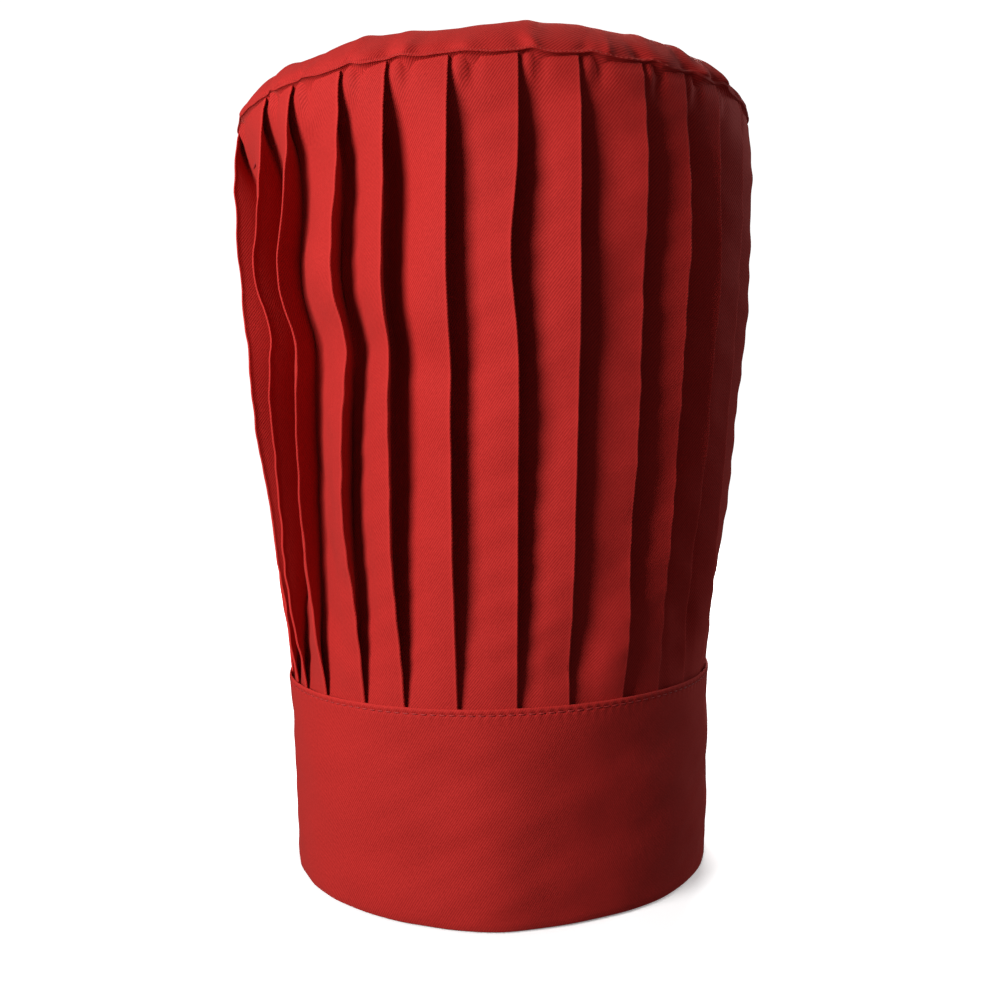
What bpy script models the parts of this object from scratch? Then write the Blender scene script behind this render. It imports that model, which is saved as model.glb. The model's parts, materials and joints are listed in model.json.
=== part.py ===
"""Pleated chef toque: folded band with a hook-and-loop closure, a wall of knife pleats and a domed crown.

+Z is up, the front faces -Y and the closure is at +Y. The origin is the centre of the band's lower edge.
Lengths are in metres and angles in degrees, counted from the front towards +X.
"""

import math

import bmesh
import bpy
from mathutils import Vector

# Band
BAND_HEIGHT = 0.082
BAND_RADIUS_BOTTOM = 0.0888
BAND_RADIUS_TOP = 0.0906
BAND_LEAF = 0.0007
BAND_CORE = 0.0010
BAND_FOLD = 0.0012
BAND_GAP = 0.0020
BAND_SEGMENTS = 72
CORE_HEIGHT = 0.064
INNER_LEAF_DROP = 0.002

# Pleated wall
WALL_HEIGHT = 0.219
WALL_RADIUS_MAX = 0.1083
WALL_WIDEST = 0.86
WALL_CLOTH = 0.0009
WALL_TAIL = 0.015
PLEAT_COUNT = 30
PLEAT_DEPTH = 0.0085
PLEAT_DEPTH_CROWN = 0.0012
PLEAT_CREST = 0.93
SLIT_SHARE = 0.5625
SLIT_WIDTH = 0.0024
SLIT_HEIGHT = 0.040

# Crown
CROWN_RISE = 0.030
CROWN_CLOTH = 0.0009
CROWN_OVERHANG = 0.0004
CROWN_TAIL = 0.010
CROWN_SEGMENTS = 72
TAPE_HEIGHT = 0.009
TAPE_THICKNESS = 0.0008

# Closure
BACK = 180.0
TAB_HEIGHT = 0.070
TAB_LENGTH = 0.072
TAB_CLOTH = 0.0016
TAB_CORNER = 0.012
TAB_RAMP = 0.010
ROOT_LENGTH = 0.014
ROOT_END = 0.0012
PATCH_HEIGHT = 0.056
PATCH_THICKNESS = 0.0008
LOOP_LENGTH = 0.060
HOOK_LENGTH = 0.026
HOOK_MARGIN = 0.006

# Label
LABEL_ANGLE = 150.0
LABEL_WIDTH = 0.022
LABEL_LENGTH = 0.038
LABEL_SEWN = 0.004
LABEL_CLOTH = 0.0004
LABEL_DROP = 0.0026
LABEL_HINGE_INSET = 0.0008  # the label curves with the band, so its hinge line lies clear of its edges

# Fits
CLEARANCE = 0.0003
SLOT_CLEARANCE = 0.00025
FACING_CLEARANCE = 0.0005
FOLD_GAP = 0.0004
FACING_WIDTH = 0.0042
THREAD = 0.0005
STITCH_INSET = 0.0025

BAND_THICKNESS = 2 * BAND_LEAF + 2 * SLOT_CLEARANCE + BAND_CORE
CROWN_SEAM = BAND_HEIGHT + WALL_HEIGHT


def place(angle, radius, height):
    turn = math.radians(angle)
    return Vector((radius * math.sin(turn), -radius * math.cos(turn), height))


def arc(length, radius):
    return math.degrees(length / radius)


def band_radius(height):
    share = height / BAND_HEIGHT
    return BAND_RADIUS_BOTTOM + (BAND_RADIUS_TOP - BAND_RADIUS_BOTTOM) * share


def material(name, colour, roughness):
    made = bpy.data.materials.new(name)
    made.use_nodes = True
    shader = made.node_tree.nodes["Principled BSDF"]
    shader.inputs["Base Color"].default_value = (*colour, 1.0)
    shader.inputs["Roughness"].default_value = roughness
    made.diffuse_color = (*colour, 1.0)
    return made


def finish(name, mesh, skin, smooth, pivot=None):
    """Turns a bmesh into a named object whose origin is the pivot."""
    bmesh.ops.recalc_face_normals(mesh, faces=mesh.faces)
    if pivot is not None:
        bmesh.ops.translate(mesh, verts=mesh.verts, vec=-pivot)
    data = bpy.data.meshes.new(name)
    mesh.to_mesh(data)
    mesh.free()
    for face in data.polygons:
        face.use_smooth = smooth
    data.materials.append(skin)
    made = bpy.data.objects.new(name, data)
    if pivot is not None:
        made.location = pivot
    bpy.context.scene.collection.objects.link(made)
    return made


def loft(name, sections, closed, skin, smooth=True, pivot=None):
    """Joins equal loops of points into one skin, with a cap on each end unless it closes on itself."""
    mesh = bmesh.new()
    loops = [[mesh.verts.new(point) for point in section] for section in sections]
    size = len(loops[0])
    for index in range(len(loops) - (0 if closed else 1)):
        near = loops[index]
        far = loops[(index + 1) % len(loops)]
        for corner in range(size):
            after = (corner + 1) % size
            mesh.faces.new((near[corner], near[after], far[after], far[corner]))
    if not closed:
        mesh.faces.new(loops[0])
        mesh.faces.new(loops[-1])
    return finish(name, mesh, skin, smooth, pivot)


def revolve(name, profile, skin, segments, start=0.0, turn=360.0):
    """Sweeps (radius, height) points round the hat's axis."""
    closed = turn >= 360.0
    stations = segments if closed else segments + 1
    sections = []
    for index in range(stations):
        angle = start + turn * index / segments
        sections.append([place(angle, radius, height) for radius, height in profile])
    return loft(name, sections, closed, skin)


def sheet(name, angles, rows, outer, inner, skin, missing=(), closed=False):
    """A thick sheet over a grid of angles and heights, without the cells listed in missing."""
    mesh = bmesh.new()
    out = {}
    back = {}
    for i, angle in enumerate(angles):
        for j, height in enumerate(rows):
            out[i, j] = mesh.verts.new(outer(angle, height))
            back[i, j] = mesh.verts.new(inner(angle, height))
    count = len(angles)
    spans = count if closed else count - 1
    cells = {(i, j) for i in range(spans) for j in range(len(rows) - 1)} - set(missing)
    for i, j in sorted(cells):
        k = (i + 1) % count
        mesh.faces.new((out[i, j], out[k, j], out[k, j + 1], out[i, j + 1]))
        mesh.faces.new((back[i, j], back[i, j + 1], back[k, j + 1], back[k, j]))
        left = (i - 1) % count if closed else i - 1
        right = k if closed else i + 1
        if (left, j) not in cells:
            mesh.faces.new((out[i, j], out[i, j + 1], back[i, j + 1], back[i, j]))
        if (right, j) not in cells:
            mesh.faces.new((out[k, j], back[k, j], back[k, j + 1], out[k, j + 1]))
        if (i, j - 1) not in cells:
            mesh.faces.new((out[i, j], back[i, j], back[k, j], out[k, j]))
        if (i, j + 1) not in cells:
            mesh.faces.new((out[i, j + 1], out[k, j + 1], back[k, j + 1], back[i, j + 1]))
    loose = [vert for vert in mesh.verts if not vert.link_faces]
    bmesh.ops.delete(mesh, geom=loose, context="VERTS")
    return finish(name, mesh, skin, False)


def strip(name, columns, thickness, skin, pivot=None):
    """A curved plate on the band: each column is (angle, low, high, offset from the band's face)."""
    sections = []
    for angle, low, high, offset in columns:
        sections.append(
            [
                place(angle, band_radius(low) + offset + thickness, low),
                place(angle, band_radius(high) + offset + thickness, high),
                place(angle, band_radius(high) + offset, high),
                place(angle, band_radius(low) + offset, low),
            ]
        )
    return loft(name, sections, False, skin, False, pivot)


def thread(name, path, skin, pivot=None):
    """A square thread laid on (angle, radius, height) points, standing outwards from them."""
    points = [place(*spot) for spot in path]
    sections = []
    for index, point in enumerate(points):
        before = points[max(index - 1, 0)]
        after = points[min(index + 1, len(points) - 1)]
        along = (after - before).normalized()
        out = place(path[index][0], 1.0, 0.0)
        side = along.cross(out).normalized() * (THREAD / 2)
        lift = out * THREAD
        sections.append([point - side, point + side, point + side + lift, point - side + lift])
    return loft(name, sections, False, skin, True, pivot)


# Wall shape
PITCH = 360.0 / PLEAT_COUNT
FIRST_VALLEY = BACK - SLIT_SHARE * PITCH
WALL_TAIL_RADIUS = BAND_RADIUS_TOP - BAND_LEAF - CLEARANCE
SLIT_HALF = arc(SLIT_WIDTH / 2, BAND_RADIUS_TOP)


def wall_radius(height):
    """Radius of the pleats' free folds."""
    if height <= BAND_HEIGHT:
        return band_radius(height) - BAND_LEAF - CLEARANCE
    share = (height - BAND_HEIGHT) / (WALL_HEIGHT * WALL_WIDEST)
    swell = 1.25 * share - 0.25 * share**5
    return WALL_TAIL_RADIUS + (WALL_RADIUS_MAX - WALL_TAIL_RADIUS) * swell


def pleat_depth(height):
    if height <= BAND_HEIGHT:
        return 0.0
    share = (height - BAND_HEIGHT) / WALL_HEIGHT
    full = PLEAT_DEPTH * math.sin(math.pi * min(share, 1.0)) ** 0.6
    return full + PLEAT_DEPTH_CROWN * share


def pleat_rise(angle):
    """0 in a pleat's valley and 1 on its free fold."""
    share = ((angle - FIRST_VALLEY) / PITCH) % 1.0
    if share <= 0.5:
        return share * 1.16
    if share <= PLEAT_CREST:
        return 0.58 + (share - 0.5) * 0.42 / (PLEAT_CREST - 0.5)
    return (1.0 - share) / (1.0 - PLEAT_CREST)


def wall_out(angle, height):
    return wall_radius(height) - pleat_depth(height) * (1.0 - pleat_rise(angle))


def wall_outer(angle, height):
    return place(angle, wall_out(angle, height), height)


def wall_inner(angle, height):
    radius = wall_out(angle, height)
    return place(angle - arc(WALL_CLOTH, radius), radius - WALL_CLOTH, height)


def wall_rows():
    slit = SLIT_HEIGHT / WALL_HEIGHT
    shares = [0.008, slit * 0.3, slit * 0.65, slit, slit + 0.04]
    above = slit + 0.04
    shares += [above + (0.985 - above) * step / 8 for step in range(1, 9)] + [1.0]
    return [BAND_HEIGHT - WALL_TAIL, BAND_HEIGHT - 0.001] + [
        BAND_HEIGHT + WALL_HEIGHT * share for share in shares
    ]


def wall_angles():
    angles = []
    for index in range(PLEAT_COUNT):
        valley = FIRST_VALLEY + PITCH * index
        middle = [BACK - SLIT_HALF, BACK + SLIT_HALF] if index == 0 else [valley + PITCH * 0.5]
        angles += [valley, *middle, valley + PITCH * PLEAT_CREST]
    return angles


def build_wall(skin):
    rows = wall_rows()
    top = rows.index(BAND_HEIGHT + WALL_HEIGHT * (SLIT_HEIGHT / WALL_HEIGHT))
    missing = [(1, row) for row in range(top)]
    sheet("pleated_wall", wall_angles(), rows, wall_outer, wall_inner, skin, missing, True)


def build_slit(skin, stitch):
    rows = [height for height in wall_rows() if height > BAND_HEIGHT]
    rows = rows[: rows.index(BAND_HEIGHT + WALL_HEIGHT * (SLIT_HEIGHT / WALL_HEIGHT)) + 2]
    to_fold = (PLEAT_CREST - SLIT_SHARE) * PITCH
    wide = min(
        SLIT_HALF + arc(FACING_WIDTH, BAND_RADIUS_TOP),
        to_fold - arc(WALL_CLOTH + FACING_CLEARANCE, BAND_RADIUS_TOP),
    )
    angles = [BACK - wide, BACK - SLIT_HALF, BACK + SLIT_HALF, BACK + wide]
    inset = WALL_CLOTH + FACING_CLEARANCE

    def front(angle, height):
        return place(angle, wall_out(angle, height) - inset, height)

    def rear(angle, height):
        return place(angle, wall_out(angle, height) - inset - TAPE_THICKNESS, height)

    missing = [(1, row) for row in range(len(rows) - 2)]
    sheet("slit_facing", angles, rows, front, rear, skin, missing)
    height = BAND_HEIGHT + SLIT_HEIGHT + 0.002
    path = []
    for step in range(5):
        angle = BACK + arc(0.008, BAND_RADIUS_TOP) * (step / 4 - 0.5)
        path.append((angle, wall_out(angle, height) + CLEARANCE, height))
    thread("slit_bartack", path, stitch)


def build_crown(skin, tape):
    rim = wall_radius(CROWN_SEAM) + CROWN_OVERHANG
    base = CROWN_SEAM + 2 * CLEARANCE
    shares = [0.0006, 0.2, 0.38, 0.54, 0.67, 0.78, 0.86, 0.92, 0.965, 1.0]
    outer = [(rim * share, base + CROWN_RISE * (1.0 - share**4)) for share in shares]
    inner = []
    for share in shares[:-2]:
        slope = -4.0 * CROWN_RISE * share**3 / rim
        size = math.hypot(1.0, slope)
        radius = rim * share + slope / size * CROWN_CLOTH
        height = base + CROWN_RISE * (1.0 - share**4) - CROWN_CLOTH / size
        inner.append((max(radius, 0.00006), height))
    under = CROWN_SEAM + CLEARANCE
    low = CROWN_SEAM - CROWN_TAIL
    tail = wall_radius(low) - pleat_depth(low) - WALL_CLOTH - 2 * CLEARANCE
    hem = [(rim, under), (tail, under), (tail, low), (tail - CROWN_CLOTH, low)]
    hem.append((tail - CROWN_CLOTH, under + CROWN_CLOTH))
    build_disc("crown_disc", outer, hem + inner[::-1], skin)
    edge = tail - CROWN_CLOTH - CLEARANCE
    profile = [
        (edge, low - CLEARANCE),
        (edge, low + TAPE_HEIGHT),
        (edge - TAPE_THICKNESS, low + TAPE_HEIGHT),
        (edge - TAPE_THICKNESS, low - CLEARANCE),
    ]
    revolve("crown_seam_tape", profile, tape, CROWN_SEGMENTS)


def build_disc(name, outer, rest, skin):
    """Revolves an outer and an inner run that both start on the axis."""
    mesh = bmesh.new()
    top = mesh.verts.new((0.0, 0.0, outer[0][1]))
    below = mesh.verts.new((0.0, 0.0, rest[-1][1]))
    run = outer[1:] + rest[:-1]
    rings = []
    for index in range(CROWN_SEGMENTS):
        angle = 360.0 * index / CROWN_SEGMENTS
        rings.append([mesh.verts.new(place(angle, *spot)) for spot in run])
    for index, ring in enumerate(rings):
        after = rings[(index + 1) % CROWN_SEGMENTS]
        mesh.faces.new((top, ring[0], after[0]))
        mesh.faces.new((below, after[-1], ring[-1]))
        for spot in range(len(run) - 1):
            mesh.faces.new((ring[spot], ring[spot + 1], after[spot + 1], after[spot]))
    return finish(name, mesh, skin, True)


def band_profile():
    """The band's cloth as a folded U: outer leaf, lower fold and inner leaf."""
    deep = BAND_THICKNESS
    slot = BAND_LEAF + CLEARANCE + 0.0009
    corners = [
        (0.0, BAND_HEIGHT),
        (0.0, BAND_HEIGHT * 0.5),
        (0.0, BAND_FOLD),
        (0.0005, 0.0),
        (deep - 0.0005, 0.0),
        (deep, BAND_FOLD),
        (deep, BAND_HEIGHT * 0.5),
        (deep, BAND_HEIGHT - INNER_LEAF_DROP),
        (deep - BAND_LEAF, BAND_HEIGHT - INNER_LEAF_DROP),
        (deep - BAND_LEAF, slot),
        (BAND_LEAF, slot),
        (BAND_LEAF, BAND_HEIGHT),
    ]
    return [(band_radius(height) - inset, height) for inset, height in corners]


def build_band(skin, core, stitch):
    half = arc(BAND_GAP / 2, BAND_RADIUS_TOP)
    start = BACK + half
    turn = 360.0 - 2 * half
    revolve("band_cloth", band_profile(), skin, BAND_SEGMENTS, start, turn)
    low = BAND_LEAF + 2 * CLEARANCE + 0.0009
    high = low + CORE_HEIGHT
    near = BAND_LEAF + SLOT_CLEARANCE
    far = near + BAND_CORE
    profile = [
        (band_radius(high) - near, high),
        (band_radius(low) - near, low),
        (band_radius(low) - far, low),
        (band_radius(high) - far, high),
    ]
    revolve("band_interlining", profile, core, BAND_SEGMENTS, start, turn)
    height = BAND_HEIGHT - STITCH_INSET
    inset = arc(0.002, BAND_RADIUS_TOP)
    path = []
    for index in range(BAND_SEGMENTS + 1):
        angle = start + inset + (turn - 2 * inset) * index / BAND_SEGMENTS
        path.append((angle, band_radius(height) + CLEARANCE, height))
    thread("band_topstitch", path, stitch)


# Closure shape
TAB_LOW = (BAND_HEIGHT - TAB_HEIGHT) / 2
TAB_HIGH = TAB_LOW + TAB_HEIGHT
PATCH_LOW = (BAND_HEIGHT - PATCH_HEIGHT) / 2
PATCH_HIGH = PATCH_LOW + PATCH_HEIGHT
BAND_MIDDLE = band_radius(BAND_HEIGHT / 2)
LOOP_OFFSET = CLEARANCE
HOOK_OFFSET = LOOP_OFFSET + PATCH_THICKNESS + CLEARANCE
TAB_OFFSET = HOOK_OFFSET + PATCH_THICKNESS + CLEARANCE


def tab_angle(length):
    """Angle of a point this far along the tab from its fold."""
    return BACK + arc(length - ROOT_END, BAND_MIDDLE)


def tab_span(length):
    """The tab's lowest and highest point at this length, with its corners rounded."""
    left = TAB_LENGTH - length
    if left >= TAB_CORNER:
        return TAB_LOW, TAB_HIGH
    cut = TAB_CORNER - math.sqrt(TAB_CORNER**2 - (TAB_CORNER - left) ** 2)
    return TAB_LOW + cut, TAB_HIGH - cut


def tab_offset(length):
    share = min(max(length / TAB_RAMP, 0.0), 1.0)
    return CLEARANCE + (TAB_OFFSET - CLEARANCE) * share * share * (3.0 - 2.0 * share)


def tab_lengths():
    ramp = [FOLD_GAP / 2 + TAB_RAMP * step / 5 for step in range(6)]
    flat_end = TAB_LENGTH - TAB_CORNER
    flat = [ramp[-1] + (flat_end - ramp[-1]) * step / 8 for step in range(1, 9)]
    turns = [math.radians(step * 13.0) for step in range(1, 7)]
    return ramp + flat + [flat_end + TAB_CORNER * math.sin(turn) for turn in turns]


def patch_columns(start, length, offset):
    columns = []
    for step in range(9):
        angle = tab_angle(start + length * step / 8)
        columns.append((angle, PATCH_LOW, PATCH_HIGH, offset))
    return columns


def build_closure(skin, stitch, tape):
    fold_offset = CLEARANCE + TAB_CLOTH
    pivot = place(tab_angle(0.0), BAND_MIDDLE + fold_offset, BAND_HEIGHT / 2)
    root = []
    for step in range(4):
        length = -FOLD_GAP / 2 - ROOT_LENGTH * (1.0 - step / 3)
        root.append((tab_angle(length), TAB_LOW, TAB_HIGH, CLEARANCE))
    strip("tab_root", root, TAB_CLOTH, skin)
    columns = [(tab_angle(s), *tab_span(s), tab_offset(s)) for s in tab_lengths()]
    strip("tab_cloth", columns, TAB_CLOTH, skin, pivot)
    hook_start = TAB_LENGTH - HOOK_MARGIN - HOOK_LENGTH
    strip("hook_patch", patch_columns(hook_start, HOOK_LENGTH, HOOK_OFFSET),
          PATCH_THICKNESS, tape, pivot)
    loop_start = max(TAB_LENGTH - HOOK_MARGIN - LOOP_LENGTH, TAB_RAMP * 0.6)
    loop_length = TAB_LENGTH - HOOK_MARGIN - loop_start
    strip("loop_patch", patch_columns(loop_start, loop_length, LOOP_OFFSET),
          PATCH_THICKNESS, tape)
    build_tab_stitch(stitch, pivot)


def build_tab_stitch(stitch, pivot):
    """One thread that runs out along the tab's top, round its end and back."""
    lengths = [s for s in tab_lengths() if FOLD_GAP < s <= TAB_LENGTH - TAB_CORNER]
    above = []
    below = []
    for length in lengths:
        above.append((length, TAB_HIGH - STITCH_INSET))
        below.append((length, TAB_LOW + STITCH_INSET))
    corner = TAB_CORNER - STITCH_INSET
    for step in range(1, 6):
        turn = math.radians(18.0 * step)
        length = TAB_LENGTH - TAB_CORNER + corner * math.sin(turn)
        drop = TAB_CORNER - corner * math.cos(turn)
        above.append((length, TAB_HIGH - drop))
        below.append((length, TAB_LOW + drop))
    path = []
    for length, height in above + below[::-1]:
        lift = tab_offset(length) + TAB_CLOTH + CLEARANCE
        path.append((tab_angle(length), band_radius(height) + lift, height))
    thread("tab_topstitch", path, stitch, pivot)


def build_label(skin):
    face = -BAND_THICKNESS - CLEARANCE - LABEL_CLOTH
    top = BAND_HEIGHT - INNER_LEAF_DROP - LABEL_DROP
    fold = top - LABEL_SEWN
    half = arc(LABEL_WIDTH / 2, BAND_MIDDLE)
    angles = [LABEL_ANGLE + half * (step / 2 - 1.0) for step in range(5)]
    strip("label_root", [(a, fold + FOLD_GAP / 2, top, face) for a in angles],
          LABEL_CLOTH, skin)
    pivot = place(LABEL_ANGLE, band_radius(fold) + face - LABEL_HINGE_INSET, fold)
    low = fold - LABEL_LENGTH
    strip("care_label", [(a, low, fold - FOLD_GAP / 2, face) for a in angles],
          LABEL_CLOTH, skin, pivot)


def main():
    for old in list(bpy.data.objects):
        bpy.data.objects.remove(old, do_unlink=True)
    cloth = (0.55, 0.035, 0.035)
    wall = material("wall_cloth", cloth, 0.85)
    crown = material("crown_cloth", cloth, 0.85)
    band = material("band_cloth", (0.50, 0.03, 0.03), 0.8)
    core = material("interlining", (0.80, 0.79, 0.76), 0.9)
    stitch = material("thread", (0.48, 0.03, 0.03), 0.6)
    tape = material("hook_and_loop", (0.02, 0.02, 0.022), 0.9)
    binding = material("binding_tape", (0.42, 0.025, 0.025), 0.9)
    label = material("label_cloth", (0.82, 0.81, 0.78), 0.7)
    build_band(band, core, stitch)
    build_wall(wall)
    build_slit(binding, stitch)
    build_crown(crown, binding)
    build_closure(band, stitch, tape)
    build_label(label)


main()
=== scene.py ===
import json
import math

import bpy
import numpy as np
from mathutils import Matrix, Vector


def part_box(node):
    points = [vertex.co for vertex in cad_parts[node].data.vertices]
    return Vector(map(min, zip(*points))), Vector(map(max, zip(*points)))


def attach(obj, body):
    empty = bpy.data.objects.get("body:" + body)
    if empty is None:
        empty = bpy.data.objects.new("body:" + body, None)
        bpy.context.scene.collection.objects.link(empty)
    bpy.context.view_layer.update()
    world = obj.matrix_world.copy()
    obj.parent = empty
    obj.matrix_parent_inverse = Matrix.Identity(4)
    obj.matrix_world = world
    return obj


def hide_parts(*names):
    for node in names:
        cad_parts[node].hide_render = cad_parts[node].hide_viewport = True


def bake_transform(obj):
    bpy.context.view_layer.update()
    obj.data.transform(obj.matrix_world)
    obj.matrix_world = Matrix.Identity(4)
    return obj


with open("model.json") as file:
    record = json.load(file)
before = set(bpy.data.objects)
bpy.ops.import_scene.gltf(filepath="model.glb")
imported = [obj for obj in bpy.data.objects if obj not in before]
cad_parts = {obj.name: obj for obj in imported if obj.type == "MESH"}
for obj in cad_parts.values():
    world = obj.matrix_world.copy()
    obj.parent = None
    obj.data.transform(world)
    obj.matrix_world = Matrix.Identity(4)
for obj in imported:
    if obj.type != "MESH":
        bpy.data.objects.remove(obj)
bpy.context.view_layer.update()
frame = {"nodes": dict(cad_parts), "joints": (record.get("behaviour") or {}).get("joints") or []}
scene = bpy.context.scene
rng = np.random.default_rng(11)

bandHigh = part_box("band_cloth")[1]
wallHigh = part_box("pleated_wall")[1]
tapeLow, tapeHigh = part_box("crown_seam_tape")
bandTop = bandHigh.z
bandRadiusTop = bandHigh.x
seamHeight = wallHigh.z
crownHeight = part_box("crown_disc")[1].z
wallWidest = wallHigh.x
hatLean = 0.0105  # the crown sits a little to one side of the band
print("frame loaded")


# Small helpers


# Points from angles in degrees counted from the front towards +X
def polar(angle, radius, height):
    turn = np.radians(angle)
    side = radius * np.sin(turn) + hatLean * np.maximum(height - bandTop, 0.0)
    return np.stack([side, -radius * np.cos(turn), height + 0 * turn], axis=-1)


def smooth(low, high, value):
    share = np.clip((value - low) / (high - low), 0.0, 1.0)
    return share * share * (3.0 - 2.0 * share)


def hump(value, centre, width):
    return np.exp(-(((value - centre) / width) ** 2))


# The same angle between -180 and 180
def wrapped(angle):
    return (angle + 180.0) % 360.0 - 180.0


# Soft irregular noise between about -1 and 1, from a few crossed waves
def waves(x, y, scale, seed):
    made = np.random.default_rng(seed)
    total = 0.0 * (x + y)
    for _ in range(9):
        heading = made.uniform(0, 2 * math.pi)
        rate = made.uniform(0.6, 1.9) * 2 * math.pi / scale
        total = total + np.sin(rate * (x * math.cos(heading) + y * math.sin(heading)) + made.uniform(0, 6.3))
    return total / 3.0


def addMesh(name, points, faces, uv=None, marks=None, smoothShade=True):
    mesh = bpy.data.meshes.new(name)
    mesh.from_pydata(np.asarray(points, float).reshape(-1, 3).tolist(), [], faces)
    if smoothShade:
        mesh.polygons.foreach_set("use_smooth", [True] * len(mesh.polygons))
    if uv is not None:
        layer = mesh.uv_layers.new(name="cloth")
        corners = np.empty(len(mesh.loops), np.int32)
        mesh.loops.foreach_get("vertex_index", corners)
        layer.data.foreach_set("uv", np.asarray(uv, np.float32)[corners].ravel())
    for label, values in (marks or {}).items():
        layer = mesh.attributes.new(label, "FLOAT", "POINT")
        layer.data.foreach_set("value", np.asarray(values, np.float32).ravel())
    mesh.update()
    made = bpy.data.objects.new(name, mesh)
    scene.collection.objects.link(made)
    return made


# Quads over a grid stored column by column
def gridFaces(columns, rows, closed=False, flip=False):
    i = np.arange(columns if closed else columns - 1)[:, None]
    j = np.arange(rows - 1)[None, :]
    k = (i + 1) % columns
    quads = np.stack([i * rows + j, k * rows + j, k * rows + j + 1, i * rows + j + 1], axis=-1)
    quads = quads.reshape(-1, 4)
    return (quads[:, ::-1] if flip else quads).tolist()


# Faces of a closed bar whose outline repeats count times, with both ends filled
def barFaces(count, rows):
    faces = []
    for i in range(count - 1):
        for j in range(rows):
            k = (j + 1) % rows
            faces.append((i * rows + j, (i + 1) * rows + j, (i + 1) * rows + k, i * rows + k))
    faces.append(tuple(range(rows)))
    faces.append(tuple((count - 1) * rows + j for j in range(rows))[::-1])
    return faces


def thicken(piece, thickness, offset=-1.0):
    made = piece.modifiers.new("cloth thickness", "SOLIDIFY")
    made.thickness = thickness
    made.offset = offset
    made.use_even_offset = False
    return piece


# Applies the piece's modifiers
def settle(piece):
    graph = bpy.context.evaluated_depsgraph_get()
    done = bpy.data.meshes.new_from_object(piece.evaluated_get(graph))
    piece.modifiers.clear()
    piece.data = done
    return piece


# Points and faces of a round thread through the points of a path
def tubeAlong(path, radius, sides=6, closed=False, taper=None):
    path = np.asarray(path, float)
    count = len(path)
    ahead = np.roll(path, -1, 0) if closed else np.vstack([path[1:], path[-1:]])
    behind = np.roll(path, 1, 0) if closed else np.vstack([path[:1], path[:-1]])
    along = ahead - behind
    along /= np.linalg.norm(along, axis=1)[:, None] + 1e-12
    guide = np.tile([0.0, 0.0, 1.0], (count, 1))
    guide[np.abs(along[:, 2]) > 0.9] = [1.0, 0.0, 0.0]
    side = np.cross(along, guide)
    side /= np.linalg.norm(side, axis=1)[:, None]
    lift = np.cross(side, along)
    turn = np.arange(sides) * 2 * math.pi / sides
    size = radius * (np.ones(count) if taper is None else np.asarray(taper))
    ring = side[:, None] * np.cos(turn)[None, :, None] + lift[:, None] * np.sin(turn)[None, :, None]
    points = (path[:, None] + ring * size[:, None, None]).reshape(-1, 3)
    faces = []
    for i in range(count if closed else count - 1):
        k = (i + 1) % count
        for s in range(sides):
            t = (s + 1) % sides
            faces.append((i * sides + s, i * sides + t, k * sides + t, k * sides + s))
    if not closed:
        faces.append(tuple(range(sides))[::-1])
        faces.append(tuple((count - 1) * sides + s for s in range(sides)))
    return points, faces


# One object from many (points, faces) pairs
def gather(name, parts):
    allPoints = []
    allFaces = []
    start = 0
    for points, faces in parts:
        allPoints.append(points)
        allFaces.extend([tuple(start + corner for corner in face) for face in faces])
        start += len(points)
    return addMesh(name, np.vstack(allPoints), allFaces)


# Short raised threads laid end to end along a path, each dipping into the cloth at its ends
def stitchRow(path, pitch, length, thread, out, sunk=0.45):
    path = np.asarray(path, float)
    step = np.linalg.norm(np.diff(path, axis=0), axis=1)
    run = np.concatenate([[0.0], np.cumsum(step)])
    parts = []
    count = int(run[-1] / pitch)
    shares = np.array([0.0, 0.14, 0.36, 0.64, 0.86, 1.0])
    lifts = np.array([-sunk, 0.25, 0.62, 0.62, 0.25, -sunk])
    for index in range(count):
        spots = (index + 0.5) * pitch + (shares - 0.5) * length
        spots = np.clip(spots, 0.0, run[-1])
        points = np.stack([np.interp(spots, run, path[:, axis]) for axis in range(3)], axis=1)
        away = np.stack([np.interp(spots, run, out[:, axis]) for axis in range(3)], axis=1)
        points = points + away * (lifts * thread)[:, None]
        parts.append(tubeAlong(points, thread * 0.5, 6, taper=[0.7, 0.95, 1.0, 1.0, 0.95, 0.7]))
    return parts


# Shared material effects


def newGroup(name, inputs, outputs):
    group = bpy.data.node_groups.new(name, "ShaderNodeTree")
    for label, kind, value in inputs:
        socket = group.interface.new_socket(label, in_out="INPUT", socket_type=kind)
        if value is not None:
            socket.default_value = value
    for label, kind in outputs:
        group.interface.new_socket(label, in_out="OUTPUT", socket_type=kind)
    start = group.nodes.new("NodeGroupInput")
    end = group.nodes.new("NodeGroupOutput")
    return group, start, end


def mathNode(tree, operation, first, second=None, third=None):
    node = tree.nodes.new("ShaderNodeMath")
    node.operation = operation
    for index, value in enumerate((first, second, third)):
        if value is None:
            continue
        if isinstance(value, (int, float)):
            node.inputs[index].default_value = value
        else:
            tree.links.new(value, node.inputs[index])
    return node.outputs[0]


def noiseNode(tree, vector, scale, detail=2.0, roughness=0.5):
    node = tree.nodes.new("ShaderNodeTexNoise")
    node.inputs["Scale"].default_value = scale
    node.inputs["Detail"].default_value = detail
    node.inputs["Roughness"].default_value = roughness
    tree.links.new(vector, node.inputs["Vector"])
    return node.outputs["Fac"]


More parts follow.
